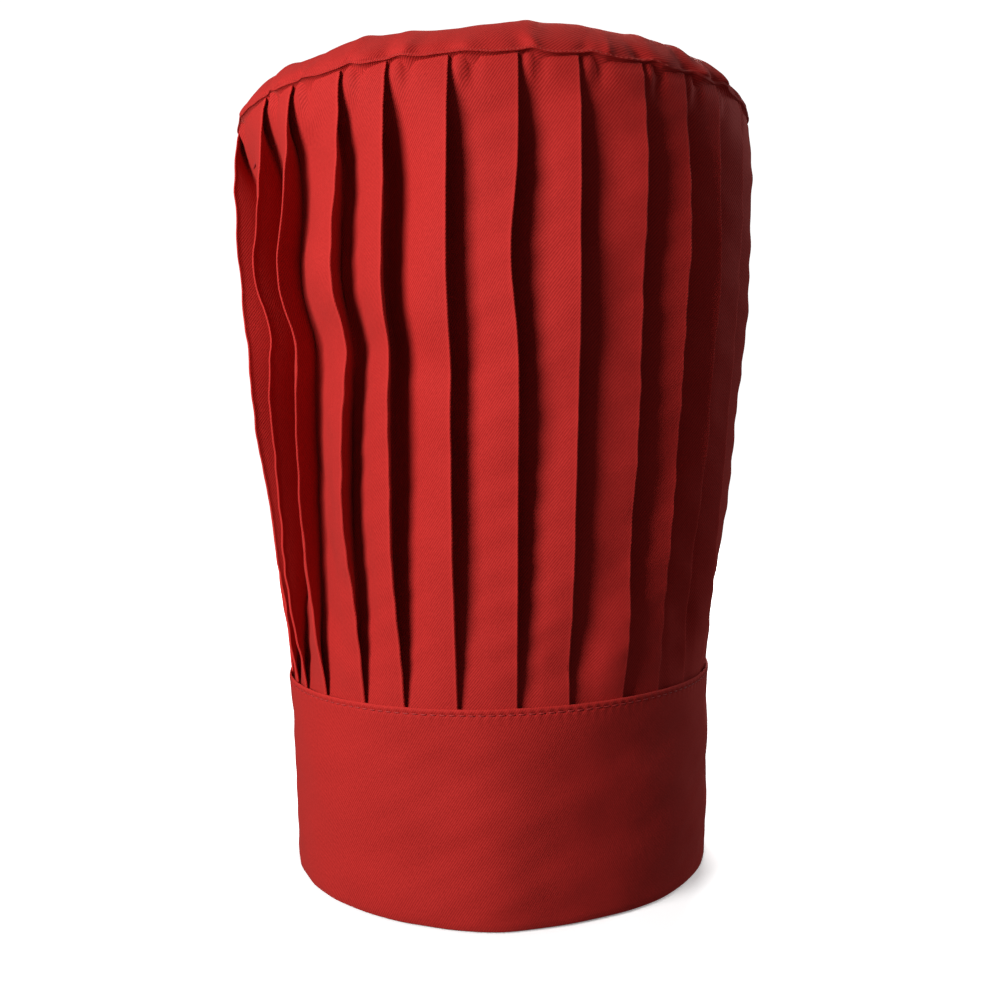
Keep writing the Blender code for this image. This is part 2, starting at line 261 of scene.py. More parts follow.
# Diagonal ribs of a twill weave in cloth coordinates, with the crossing yarns that break them up
def twillGroup():
    group, start, end = newGroup(
        "twill weave",
        [("Cloth", "NodeSocketVector", None), ("Rib Spacing", "NodeSocketFloat", 0.0009),
         ("Slant", "NodeSocketFloat", 1.05)],
        [("Height", "NodeSocketFloat"), ("Grain", "NodeSocketFloat")],
    )
    split = group.nodes.new("ShaderNodeSeparateXYZ")
    group.links.new(start.outputs["Cloth"], split.inputs[0])
    wander = noiseNode(group, start.outputs["Cloth"], 260.0, 2.0)
    wander = mathNode(group, "MULTIPLY_ADD", wander, 3.6, -1.8)
    cosine = mathNode(group, "COSINE", start.outputs["Slant"])
    sine = mathNode(group, "SINE", start.outputs["Slant"])
    rate = mathNode(group, "DIVIDE", 2 * math.pi, start.outputs["Rib Spacing"])
    across = mathNode(group, "SUBTRACT", mathNode(group, "MULTIPLY", split.outputs[0], sine),
                      mathNode(group, "MULTIPLY", split.outputs[1], cosine))
    phase = mathNode(group, "ADD", mathNode(group, "MULTIPLY", across, rate), wander)
    rib = mathNode(group, "MULTIPLY_ADD", mathNode(group, "SINE", phase), 0.5, 0.5)
    weft = mathNode(group, "MULTIPLY", split.outputs[1], mathNode(group, "MULTIPLY", rate, 1.9))
    warp = mathNode(group, "MULTIPLY", split.outputs[0], mathNode(group, "MULTIPLY", rate, 0.55))
    yarn = mathNode(group, "SINE", mathNode(group, "ADD", weft, warp))
    yarn = mathNode(group, "MULTIPLY_ADD", yarn, 0.5, 0.5)
    height = mathNode(group, "MULTIPLY", rib, mathNode(group, "MULTIPLY_ADD", yarn, 0.35, 0.65))
    fuzz = noiseNode(group, start.outputs["Cloth"], 2600.0, 3.0, 0.6)
    height = mathNode(group, "ADD", height, mathNode(group, "MULTIPLY", fuzz, 0.60))
    group.links.new(height, end.inputs["Height"])
    slubs = noiseNode(group, start.outputs["Cloth"], 900.0, 3.0, 0.65)
    grain = mathNode(group, "ADD", mathNode(group, "MULTIPLY", rib, 0.45),
                     mathNode(group, "MULTIPLY", slubs, 0.55))
    group.links.new(grain, end.inputs["Grain"])
    return group


def mixColours(tree, share, first, second):
    node = tree.nodes.new("ShaderNodeMix")
    node.data_type = "RGBA"
    tree.links.new(share, node.inputs["Factor"])
    tree.links.new(first, node.inputs["A"])
    tree.links.new(second, node.inputs["B"])
    return node.outputs["Result"]


def clampNode(tree, value):
    node = tree.nodes.new("ShaderNodeClamp")
    tree.links.new(value, node.inputs[0])
    return node.outputs[0]


# Uneven dye, lighter twill ribs, and lighter fold edges as wear with a painted highlight: one colour out of
# a base, a lighter and a darker one
def toneGroup():
    group, start, end = newGroup(
        "cloth tone",
        [("Base", "NodeSocketColor", (0.4, 0.02, 0.02, 1)),
         ("Light", "NodeSocketColor", (0.5, 0.04, 0.04, 1)),
         ("Dark", "NodeSocketColor", (0.3, 0.01, 0.01, 1)), ("Cloth", "NodeSocketVector", None),
         ("Grain", "NodeSocketFloat", 0.5), ("Wear And Highlight", "NodeSocketFloat", 0.0)],
        [("Color", "NodeSocketColor")],
    )
    patches = noiseNode(group, start.outputs["Cloth"], 22.0, 3.0, 0.55)
    patches = mathNode(group, "MULTIPLY_ADD", patches, 2.4, -0.7)
    dyed = mixColours(group, mathNode(group, "MULTIPLY", clampNode(group, patches), 0.35),
                      start.outputs["Base"], start.outputs["Dark"])
    lift = clampNode(group, mathNode(group, "MULTIPLY_ADD", start.outputs["Grain"], 1.5, -0.3))
    lifted = mixColours(group, lift, dyed, start.outputs["Light"])
    # Painted highlight and wear: mixes towards the lighter colour where the wear-and-highlight attribute is
    # high
    worn_and_highlit = mixColours(group, start.outputs["Wear And Highlight"], lifted, start.outputs["Light"])
    group.links.new(worn_and_highlit, end.inputs["Color"])
    return group


twill = twillGroup()
tone = toneGroup()


def clothMaterial(name, base, light, dark, spacing, slant, relief, rough=0.78, sheen=0.25):
    made = bpy.data.materials.new(name)
    made.use_nodes = True
    tree = made.node_tree
    shader = tree.nodes["Principled BSDF"]
    place = tree.nodes.new("ShaderNodeUVMap")
    place.uv_map = "cloth"
    weave = tree.nodes.new("ShaderNodeGroup")
    weave.node_tree = twill
    weave.inputs["Rib Spacing"].default_value = spacing
    weave.inputs["Slant"].default_value = slant
    tree.links.new(place.outputs[0], weave.inputs["Cloth"])
    # Lightens the cloth colour along fold edges, as wear plus a painted highlight
    wear_and_highlight = tree.nodes.new("ShaderNodeAttribute")
    wear_and_highlight.attribute_name = "wear_and_highlight"
    colour = tree.nodes.new("ShaderNodeGroup")
    colour.node_tree = tone
    colour.inputs["Base"].default_value = (*base, 1)
    colour.inputs["Light"].default_value = (*light, 1)
    colour.inputs["Dark"].default_value = (*dark, 1)
    tree.links.new(place.outputs[0], colour.inputs["Cloth"])
    tree.links.new(weave.outputs["Grain"], colour.inputs["Grain"])
    tree.links.new(wear_and_highlight.outputs["Fac"], colour.inputs["Wear And Highlight"])
    tree.links.new(colour.outputs["Color"], shader.inputs["Base Color"])
    bump = tree.nodes.new("ShaderNodeBump")
    bump.inputs["Strength"].default_value = 0.8
    bump.inputs["Distance"].default_value = relief
    tree.links.new(weave.outputs["Height"], bump.inputs["Height"])
    tree.links.new(bump.outputs["Normal"], shader.inputs["Normal"])
    shader.inputs["Roughness"].default_value = rough
    shader.inputs["Specular IOR Level"].default_value = 0.12
    shader.inputs["Sheen Weight"].default_value = sheen
    shader.inputs["Sheen Roughness"].default_value = 0.45
    shader.inputs["Sheen Tint"].default_value = (1.0, 0.22, 0.18, 1)
    return made


redLook = {"base": (0.28, 0.0075, 0.0065), "light": (0.46, 0.022, 0.018), "dark": (0.19, 0.005, 0.005)}
wallCloth = clothMaterial("pleated wall twill", **redLook, spacing=0.00084, slant=0.9, relief=0.00009)
crownCloth = clothMaterial("crown twill", **redLook, spacing=0.00084, slant=0.8, relief=0.00011)
bandCloth = clothMaterial("band twill", **redLook, spacing=0.00080, slant=1.0, relief=0.00007, sheen=0.2)


def plainMaterial(name, colour, rough=0.7, sheen=0.0):
    made = bpy.data.materials.new(name)
    made.use_nodes = True
    shader = made.node_tree.nodes["Principled BSDF"]
    shader.inputs["Base Color"].default_value = (*colour, 1)
    shader.inputs["Roughness"].default_value = rough
    shader.inputs["Sheen Weight"].default_value = sheen
    return made


threadRed = plainMaterial("sewing thread", (0.34, 0.011, 0.010), 0.65)
threadBlack = plainMaterial("dark thread", (0.02, 0.02, 0.022), 0.5, 0.3)
coreWhite = plainMaterial("interlining", (0.75, 0.74, 0.70), 0.9)
tapeRed = plainMaterial("binding tape", (0.36, 0.010, 0.012), 0.85)
hookBlack = plainMaterial("hook tape", (0.02, 0.02, 0.022), 0.6)
loopBlack = plainMaterial("loop tape", (0.025, 0.025, 0.028), 0.95)
labelWhite = plainMaterial("label satin", (0.80, 0.79, 0.76), 0.45)


def dress(piece, material):
    piece.data.materials.clear()
    piece.data.materials.append(material)
    return piece


print("materials made")

# Pleated wall

wall = {
    "pleats": 30,
    "firstFold": 4.4,          # degrees, a free fold just right of the front
    "depth": 0.0108,           # how far a free fold stands above the next panel
    "flatDepth": 0.0019,       # the same where the pleat is pressed into a seam
    "underlap": 0.0046,        # hidden cloth behind a fold at mid height
    "flatUnderlap": 0.0085,    # the same at the seams
    "cloth": 0.00045,
    "tail": 0.009,             # length tucked into the band
    "allowance": 0.008,        # length turned in at the crown
    "lean": 5.7,               # degrees the folds lean outwards from crown to band
    "twist": -2.0,
    "rows": 110,
}
pitch = 360.0 / wall["pleats"]
wallHeight = seamHeight - bandTop
bandRadiusFoot = 0.0888  # outer radius at the band's folded lower edge
bandSlope = (bandRadiusTop - bandRadiusFoot) / bandTop


def bandRadius(height):
    return bandRadiusTop - bandSlope * (bandTop - height)


# Radius of the free folds at a height above the floor
def wallRadius(height):
    low = bandRadiusTop - 0.0011
    share = np.clip((height - bandTop) / (wallHeight * 0.86), 0.0, 1.3)
    swell = 1.25 * share - 0.25 * share**5
    return low + (wallWidest - 0.0001 - low) * swell


# Soft kinks of the front-left folds: degrees, height, spread
foldKinks = [(-2.7, 0.240, 0.023), (1.3, 0.205, 0.018), (-4.4, 0.138, 0.040)]


# How a fold wanders sideways, in degrees: a lean, and soft kinks on the front left
def foldSway(angle, height):
    share = (seamHeight - height) / wallHeight
    lean = (wall["lean"] * np.sin(np.radians(angle)) + wall["twist"]) * (share - 0.5)
    left = np.clip((6.0 - wrapped(angle)) / 52.0, 0.0, 1.0) ** 2 * smooth(-118.0, -70.0, wrapped(angle))
    kink = sum(size * hump(height, place, spread) for size, place, spread in foldKinks)
    centre = -1.5 * hump(wrapped(angle), 5.0, 7.0) * hump(height, 0.238, 0.022)
    upright = np.degrees(hatLean * np.maximum(height - bandTop, 0.0) * np.cos(np.radians(angle)) / 0.104)
    return lean + left * kink + centre - upright


# Folds counted from the front: degrees moved at the band and higher up, or all the way
farLeft = {-6: (5.8, -9.5), -7: (4.0, -7.5), -8: (2.0, -5.0), -9: (0.5, -2.5)}
foldOffsets = {1: 0.3, 2: 1.9, 3: 1.0, 4: 0.0, 5: 0.4, 0: 0.6,
               -1: -0.5, -2: -0.9, -3: 0.5, -4: -0.9, -5: 0.6}
foldNoise = rng.normal(0.0, 0.45, wall["pleats"] + 2)
foldWander = rng.normal(0.0, 0.5, (wall["pleats"] + 2, 3))
foldDepth = 1.0 + rng.normal(0.0, 0.07, wall["pleats"] + 2)
for turn, deeper in {-3: 1.12, -4: 1.30, -5: 1.38, -6: 1.30}.items():
    foldDepth[turn % wall["pleats"]] = deeper


# Angle of one free fold; index 0 is just right of the front and they count round by the right
def foldAngle(index, height):
    turn = int(round(index)) % wall["pleats"]
    signed = turn if turn <= wall["pleats"] // 2 else turn - wall["pleats"]
    base = wall["firstFold"] + pitch * index
    if signed in farLeft:
        low, high = farLeft[signed]
        extra = low + (high - low) * smooth(bandTop - 0.01, bandTop + 0.085, height)
    elif signed in foldOffsets:
        extra = foldOffsets[signed] + 0.0 * height
    else:
        share = (height - bandTop) / wallHeight
        bend = foldWander[turn]
        slow = bend[0] * np.sin(3.3 * share + bend[1] * 3)
        quick = 0.5 * bend[2] * np.sin(9.0 * share)
        extra = foldNoise[turn] + slow + quick
    return base + extra + foldSway(base, height)


# 0 where the pleats are pressed flat into a seam and 1 where they stand open
def pleatOpen(height):
    fromBand = np.clip(height - bandTop, 0.0, 1.0)
    fromCrown = np.clip(seamHeight - 0.001 - height, 0.0, 1.0)
    return np.tanh(fromBand / 0.052) * (1.0 - np.exp(-((fromCrown / 0.0190) ** 1.7)))


tuftSize = rng.uniform(0.2, 1.25, wall["pleats"] + 2)
stepSize = rng.uniform(0.1, 1.2, wall["pleats"] + 2)


# Height of the crown seam, with a small step up beside each fold
def seamLine(angle):
    total = 0.0 * angle
    for index in range(wall["pleats"]):
        away = wrapped(angle - foldAngle(index, seamHeight))
        total = total + 0.0009 * hump(away, 2.4, 1.8) * stepSize[index] - 0.0004 * hump(away, -4.5, 2.5)
    return seamHeight + 0.0032 + total + 0.0008 * np.sin(np.radians(angle)) ** 2


# Buckles in the cloth: size, squeeze sideways and upwards, length, noise seed
buckleWaves = [(0.00075, 1.0, 0.8, 0.055, 3), (0.00030, 0.8, 1.0, 0.022, 8), (0.00007, 1.0, 0.8, 0.009, 11)]


# Soft dents and swells pushed through the cloth, in metres outwards
def buckles(angle, height):
    angle = wrapped(angle)
    arcPlace = np.radians(angle) * 0.100
    total = sum(size * waves(arcPlace * wide, height * tall, scale, seed)
                for size, wide, tall, scale, seed in buckleWaves)
    slant = height - 0.210 + (angle + 30.0) * 0.00035
    left = smooth(8.0, -14.0, angle) * smooth(-80.0, -60.0, angle)
    total = total - 0.0016 * left * hump(slant, 0.0, 0.009) + 0.0011 * left * hump(slant, 0.022, 0.012)
    total = total + 0.0009 * left * hump(slant, -0.024, 0.013)
    inside = smooth(bandTop - 0.002, bandTop + 0.018, height)
    inside = inside * smooth(seamHeight + 0.002, seamHeight - 0.014, height)
    drawnIn = 0.0006 * smooth(seamHeight - 0.0040, seamHeight - 0.0002, height)
    return total * inside - drawnIn


# Where points lie along a panel and along the cloth hidden under it
panelSteps = np.array([0.0, 0.05, 0.10, 0.15, 0.20, 0.26, 0.33, 0.40, 0.47, 0.54, 0.61,
                       0.68, 0.75, 0.82, 0.88, 0.93, 0.965, 0.99, 1.0])
underSteps = np.array([0.12, 0.32, 0.55, 0.78, 1.0])


# How far inside the free fold the panel lies, at a share of its cloth from its hidden start
def panelDrop(share, width, depth, lap):
    hidden = lap / (width + lap) * 0.75
    rise = np.clip((share - hidden) / (1.0 - hidden), 0.0, 1.0)
    lift = rise ** 1.22 + 0.045 * np.sin(math.pi * rise)
    return depth * (1.0 - np.minimum(lift, 1.0))


# Sideways and inward distances, in metres from the right-hand free fold, along one pleat's cloth
def pleatSection(width, depth, lap):
    turn = 0.00033
    start = -width - lap
    gap = np.minimum(0.0011, depth * 0.48)
    sideways = []
    inward = []
    for p in panelSteps:
        sideways.append(start + p * (-turn - start))
        inward.append(panelDrop(p, width, depth, lap))
    for degrees in (35.0, 75.0, 110.0, 150.0):
        bend = math.radians(degrees)
        sideways.append(-turn + turn * 1.3 * math.sin(bend) + 0.0 * depth)
        inward.append(turn - turn * math.cos(bend) + 0.0 * depth)
    for q in underSteps:
        sag = math.sin(math.pi * q)
        across = -turn - (lap - turn) * q + 0.10 * lap * sag
        free = 2 * turn + (depth - gap - 2 * turn) * q ** 0.92
        sideways.append(across)
        above = panelDrop((across - start) / (-turn - start), width, depth, lap)
        inward.append(np.maximum(free, above + 0.0009))
    sideways.append(-lap - gap * 0.42)
    inward.append(depth - gap * 0.5)
    return sideways, inward


def buildWall():
    above = np.linspace(0.0, 1.0, wall["rows"])
    above = 0.5 * (above + smooth(0.0, 1.0, above))
    rows = np.concatenate([[-wall["tail"], -0.006, -0.002], above * wallHeight])
    sweep = 180.0
    columns = []
    heights = []
    marks = []
    lengths = []
    run = 0.0 * rows
    middle = len(rows) // 2
    last = None
    for index in range(wall["pleats"] // 2, wall["pleats"] + wall["pleats"] // 2 + 1):
        height = bandTop + rows
        left = foldAngle(index - 1, height)
        right = foldAngle(index, height)
        openness = pleatOpen(height)
        pleat = index % wall["pleats"]
        depth = wall["flatDepth"] + (wall["depth"] * foldDepth[pleat] - wall["flatDepth"]) * openness
        lap = wall["flatUnderlap"] + (wall["underlap"] - wall["flatUnderlap"]) * np.tanh(openness * 1.6)
        outer = wallRadius(height)
        width = np.radians(right - left) * outer
        sideways, inward = pleatSection(width, depth, lap)
        for spot, (across, down) in enumerate(zip(sideways, inward)):
            angle = right + np.degrees(across / outer)
            mid = float(angle[middle])
            if mid < sweep or mid > sweep + 360.0:
                continue
            push = buckles(angle, height) * (1.0 if spot < len(panelSteps) + 4 else 0.5)
            onPanel = 1.0 if spot < len(panelSteps) else 0.0
            fromLeft = across + width
            tuft = 0.0016 * hump(fromLeft, 0.0038, 0.0016) - 0.0013 * hump(fromLeft, 0.0078, 0.0018)
            tuft = tuft * tuftSize[pleat] * onPanel * smooth(seamHeight - 0.013, seamHeight - 0.003, height)
            push = push + tuft
            down = np.where(rows < 0, np.minimum(down, 0.0014), down)
            down = np.where(rows < -0.004, np.maximum(down, 0.0006), down)
            pressed = 0.00028 * smooth(-0.0125, -0.0105, across) * smooth(0.2, 0.0, height - bandTop - 0.03)
            radius = outer - down + push + pressed * (spot < len(panelSteps))
            columns.append((angle, radius))
            top = seamLine(angle)
            stretched = np.where(rows > 0, bandTop + rows * (top - bandTop) / wallHeight, bandTop + rows)
            heights.append(stretched)
            # Painted highlight with wear: lighter colour within about a millimetre of each free fold's
            # crest, where the fold catches light
            edge = np.exp(-((across / 0.0009) ** 2)) if spot < len(panelSteps) + 3 else 0.0 * rows
            marks.append(np.clip(edge, 0, 1) * 0.75)
            point = polar(angle, radius, stretched)
            if last is not None:
                run = run + np.linalg.norm(point - last, axis=1)
            last = point
            lengths.append(run.copy())
    angles, radii = (np.array(values) for values in zip(*columns))
    tall = np.array(heights)
    wear_and_highlight = np.array(marks)
    length = np.array(lengths)
    # The last rows roll in over the seam and turn down as its allowance.
    inset = np.array([0.00015, 0.0005, 0.0012, 0.0022, 0.0030, 0.0034])
    rise = np.array([0.0005, 0.0008, 0.0008, -0.0004, -0.0040, -wall["allowance"]])
    topAngle = np.repeat(angles[:, -1:], len(inset), 1)
    topRadius = radii[:, -1:] - inset
    topTall = tall[:, -1:] + rise
    angles = np.hstack([angles, topAngle])
    radii = np.hstack([radii, topRadius])
    tall = np.hstack([tall, topTall])
    wear_and_highlight = np.hstack([wear_and_highlight, 0 * topRadius])
    length = np.hstack([length, np.repeat(length[:, -1:], len(inset), 1)])
    rolled = np.cumsum([0.0004, 0.0006, 0.001, 0.0014, 0.0028, 0.004])
    down = np.concatenate([bandTop + rows, seamHeight + rolled])
    # Both ends of the strip meet at the back, parted below as a slit and turned in beside it.
    order = np.arange(len(angles))[:, None]
    startFade = np.exp(-order / 5.0)
    endFade = startFade[::-1]
    angles = angles + (180.03 - angles[:1]) * startFade + (539.97 - angles[-1:]) * endFade
    meet = (radii[:1] + radii[-1:]) / 2
    radii = radii + (meet - radii[:1]) * startFade + (meet - radii[-1:]) * endFade
    parted = np.clip((bandTop + 0.0415 - tall) / 0.010, 0.0, 1.0) ** 0.6 * 0.75
    angles = angles + parted * (np.exp(-(angles - 180.0) / 2.5) - np.exp(-(540.0 - angles) / 2.5))
    hemTurn = np.array([3.6, 1.0, 0.02])[:, None]
    hemIn = np.array([0.0014, 0.0012, 0.0006])[:, None]
    angles = np.vstack([angles[:1] + hemTurn, angles, angles[-1:] - hemTurn[::-1]])
    radii = np.vstack([radii[:1] - hemIn, radii, radii[-1:] - hemIn[::-1]])
    tall = np.vstack([np.repeat(tall[:1], 3, 0), tall, np.repeat(tall[-1:], 3, 0)])
    wear_and_highlight = np.vstack([np.repeat(wear_and_highlight[:1], 3, 0), wear_and_highlight, np.repeat(wear_and_highlight[-1:], 3, 0)])
    length = np.vstack([length[:1] - np.array([0.0075, 0.003, 0.0007])[:, None], length,
                        length[-1:] + np.array([0.0007, 0.003, 0.0075])[:, None]])
    points = polar(angles, radii, tall)
    cloth = np.repeat(length[:, middle][:, None], angles.shape[1], 1)
    uv = np.stack([cloth, np.repeat(down[None, :], len(angles), 0)], axis=-1)
    faces = gridFaces(len(angles), angles.shape[1])
    made = addMesh("pleatedWall", points, faces, uv.reshape(-1, 2), {"wear_and_highlight": wear_and_highlight})
    flatLength = float(length[:, middle].max())
    thicken(made, wall["cloth"])
    return made, flatLength, float(down[-1] - down[0])


pleatedWall, wallCut, wallTall = buildWall()
dress(pleatedWall, wallCloth)
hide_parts("pleated_wall")
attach(pleatedWall, "cap")
print("wall made, cut", round(wallCut, 3), round(wallTall, 3), len(pleatedWall.data.polygons), "faces")

# Crown

crown = {
    "rise": 0.0152,
    "fullness": 15.0,          # higher makes the top flatter and its shoulder squarer
    "rings": 84,
    "columns": 720,
    "cloth": 0.00045,
    "pucker": 0.0010,
    "dimple": 0.0022,          # how far the shoulder is drawn in above a fold
    "bulge": 0.0006,
}


def buildCrown():
    angle = np.linspace(0.0, 360.0, crown["columns"], endpoint=False)
    seam = seamLine(angle)
    rim = wallRadius(seamHeight) - 0.0005
    share = 1.0 - np.linspace(1.0, 0.0, crown["rings"]) ** 1.8
    share = share[1:]
    radius = share[None, :] * (rim + 0.0004) + 0 * angle[:, None]
    dome = crown["rise"] * (1.0 - share[None, :] ** crown["fullness"])
    base = seam[:, None] * share[None, :] ** 6 + (seamHeight + 0.0037) * (1 - share[None, :] ** 6)
    pull = 0.0 * angle
    for index in range(wall["pleats"]):
        away = wrapped(angle - foldAngle(index, seamHeight))
        pull = pull + rng.uniform(0.3, 1.3) * hump(away, 1.0 + rng.uniform(-1, 1), rng.uniform(1.4, 2.6))
    inFromRim = (1.0 - share[None, :]) * rim
    folds = -crown["pucker"] * pull[:, None] * np.exp(-((inFromRim / 0.0075) ** 1.3))
    folds = folds * smooth(0.0, 0.0022, inFromRim)
    flat = polar(angle[:, None] + 0 * radius, radius, 0.0 * radius)
    loose = 0.0005 * waves(flat[..., 0], flat[..., 1], 0.060, 5)
    loose = loose + 0.0003 * waves(flat[..., 0], flat[..., 1], 0.026, 6)
    slack = 0.0012 * np.sin(np.radians(angle[:, None]) * 9 + 1.3 * np.sin(np.radians(angle[:, None]) * 2))
    slack = slack * np.exp(-(((inFromRim - 0.016) / 0.014) ** 2)) * 0.4
    tall = base + dome + 0.0016 + (folds + loose + slack) * smooth(0.0, 0.004, inFromRim)
    aboveSeam = tall - seam[:, None]
    radius = radius + crown["bulge"] * hump(aboveSeam, 0.0050, 0.0030)
    drawn = np.exp(-((np.maximum(aboveSeam - 0.0010, 0.0) / 0.0065) ** 1.4))
    drawn = drawn * smooth(0.022, 0.006, inFromRim)
    creases = 0.0 * tall
    for index in range(wall["pleats"]):
        fold = foldAngle(index, seamHeight)
        for offset, size in ((rng.uniform(-0.5, 2.0), 1.0), (rng.uniform(3.5, 7.0), -0.8)):
            skew = rng.uniform(-330.0, 330.0) * aboveSeam
            crease = hump(wrapped(angle[:, None] - fold - offset - skew), 0.0, rng.uniform(1.0, 2.3))
            creases = creases + rng.uniform(0.2, 1.4) * size * crease
    creases = creases * (0.45 + 0.55 * smooth(80.0, 50.0, np.abs(wrapped(angle[:, None]))))
    radius = radius - crown["dimple"] * creases * drawn * (0.35 + 0.65 * smooth(0.0, 0.0006, inFromRim))
    edgeIn = np.array([0.0001, 0.0005, 0.0012, 0.0022, 0.0030, 0.0034])
    edgeLift = np.array([0.0017, 0.0012, 0.0010, 0.0001, -0.0030, -0.0075])
    radius = np.hstack([radius, radius[:, -1:] + 0.0002 - edgeIn])
    tall = np.hstack([tall, seam[:, None] + edgeLift])
    points = polar(angle[:, None] + 0 * radius, radius, tall)
    count = points.shape[1]
    faces = gridFaces(len(angle), count, closed=True, flip=True)
    centre = np.array([[hatLean * (crownHeight - bandTop), 0.0, seamHeight + 0.0053 + crown["rise"]]])
    top = len(angle) * count
    faces += [(top, i * count, ((i + 1) % len(angle)) * count) for i in range(len(angle))]
    stepOut = np.hypot(np.diff(radius.mean(0)), np.diff(tall.mean(0)))
    along = radius[0, 0] + np.concatenate([[0.0], np.cumsum(stepOut)])
    flatUv = polar(angle[:, None], along[None, :] + 0 * radius, 0 * radius)[..., :2]
    uv = np.vstack([flatUv.reshape(-1, 2), [[0.0, 0.0]]])
    made = addMesh("crownCloth", np.vstack([points.reshape(-1, 3), centre]), faces, uv)
    thicken(made, crown["cloth"])
    return made


crownPiece = buildCrown()
dress(crownPiece, crownCloth)
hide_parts("crown_disc")
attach(crownPiece, "cap")
print("crown made")

# Band

band = {
    "leaf": 0.0006,
    "thickness": 0.0029,
    "gap": 1.30,               # degrees between the band's ends
    "stitchDrop": 0.0022,
    "stitchPitch": 0.0036,
    "stitchLength": 0.0027,
    "thread": 0.00042,
    "columns": 1440,
}


# Soft facets and waves of the band's outer face, in metres outwards
def bandShape(angle, height):
    angle = wrapped(angle)
    facets = -0.0011 * (hump(angle, 24.0, 17.0) + hump(angle, -24.0, 15.0) * 0.7
                        + hump(angle, -70.0, 16.0) * 0.5)
    facets = facets + 0.0013 * hump(angle, -2.0, 10.0)
    arcPlace = np.radians(angle) * bandRadiusTop
    ripple = 0.00045 * waves(arcPlace, height * 1.6, 0.060, 21)
    ripple = ripple + 0.00012 * waves(arcPlace, height * 1.5, 0.024, 22)
    held = 0.35 + 0.65 * smooth(bandTop, bandTop - 0.02, height)
    backPlace = angle % 360.0
    # Flat under the tab and its patches.
    calm = smooth(172.0, 180.0, backPlace) * smooth(252.0, 238.0, backPlace)
    return (facets + ripple * (1.0 - 0.85 * calm)) * held


def buildBand():
    half = band["gap"] / 2
    angle = np.linspace(180.0 + half, 540.0 - half, band["columns"] + 1)
    deep = band["thickness"]
    stitch = bandTop - band["stitchDrop"]
    profile = [(band["leaf"] + 0.0002, bandTop - 0.010), (band["leaf"] + 0.0001, bandTop - 0.0007),
               (band["leaf"] * 0.7, bandTop - 0.0001), (band["leaf"] * 0.35, bandTop),
               (0.0, bandTop - 0.0003), (-0.0002, bandTop - 0.0009), (-0.0001, stitch + 0.0005),
               (0.00022, stitch), (-0.0001, stitch - 0.0006)]
    for height in np.linspace(stitch - 0.0015, 0.0034, 34):
        profile.append((-0.00005, height))
    for degrees in (20, 45, 70, 90, 110, 135, 160):
        bend = math.radians(degrees)
        profile.append((deep / 2 - deep / 2 * math.cos(bend), 0.0014 - 0.0014 * math.sin(bend)))
    for height in np.linspace(0.0034, bandTop - 0.003, 14):
        profile.append((deep, height))
    profile.append((deep - 0.0003, bandTop - 0.0022))
    profile.append((deep - 0.0007, bandTop - 0.0030))
    profile.append((deep - 0.0007, bandTop - 0.012))
    inset, height = np.array(profile).T
    onOuter = smooth(deep * 0.8, deep * 0.1, inset)
    a = angle[:, None]
    pulled = 0.00016 * np.cos(np.radians(a - 180.0) * bandRadiusTop / band["stitchPitch"] * 2 * math.pi)
    pulled = pulled * hump(height[None, :], stitch, 0.0011) * onOuter
    fromEnd = np.radians(np.minimum(a - angle[0], angle[-1] - a)) * bandRadiusTop
    closed = 0.30 + 0.70 * smooth(0.0, 0.0030, fromEnd)
    radius = bandRadius(height)[None, :] - inset[None, :] * closed + bandShape(a, height[None, :]) + pulled
    upper = smooth(0.06, bandTop, height)[None, :]
    tall = height[None, :] + 0.0004 * np.sin(np.radians(a) * 2 + 0.9) * upper + 0 * a
    points = polar(a + 0 * radius, radius, tall)
    length = np.cumsum(np.concatenate([[0.0], np.hypot(np.diff(inset), np.diff(height))]))
    around = np.radians(a - 180.0) * bandRadiusTop
    uv = np.stack([around + 0 * radius, -length[None, :] + 0 * radius], axis=-1)
    # Lighter colour along the band's top edge and its folded lower edge
    edge = hump(height, bandTop, 0.0006) * onOuter * 0.5 + hump(height, 0.0, 0.0008) * 0.35
    made = addMesh("bandCloth", points, gridFaces(len(angle), len(profile), flip=True), uv.reshape(-1, 2),
                   {"wear_and_highlight": edge[None, :] + 0 * radius})
    thicken(made, 0.00045)
    return made


bandPiece = buildBand()
dress(bandPiece, bandCloth)
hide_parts("band_cloth")
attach(bandPiece, "cap")


# Points just outside the band's outer face
def onBand(angle, height, out):
    return polar(angle, bandRadius(height) + bandShape(angle, height) + out, height)


def buildBandStitches():
    angle = np.linspace(181.5, 538.5, 1600)
    height = bandTop - band["stitchDrop"] + 0.0004 * np.sin(np.radians(angle) * 2 + 0.9)
    path = onBand(angle, height, -0.00012)
    away = polar(angle, 1.0 + 0 * angle, 0 * angle)
    row = stitchRow(path, band["stitchPitch"], band["stitchLength"], band["thread"], away)
    made = gather("bandStitches", row)
    dress(made, threadRed)
    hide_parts("band_topstitch")
    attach(made, "cap")


buildBandStitches()


def ringSheet(name, profile, material, angles, columns=360, bend=None):
    angle = np.linspace(angles[0], angles[1], columns + 1)[:, None]
    radius, tall = (values[None, :] + 0 * angle for values in np.array(profile).T)
    if bend:
        radius = radius + bend(angle, tall)
    length = np.cumsum(np.concatenate([[0.0], np.hypot(np.diff(radius[0]), np.diff(tall[0]))]))
    uv = np.stack([np.radians(angle) * radius[0, 0] + 0 * radius, length[None, :] + 0 * radius], axis=-1)
    made = addMesh(name, polar(angle + 0 * radius, radius, tall), gridFaces(columns + 1, len(profile)),
                   uv.reshape(-1, 2))
    dress(made, material)
    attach(made, "cap")
    return made


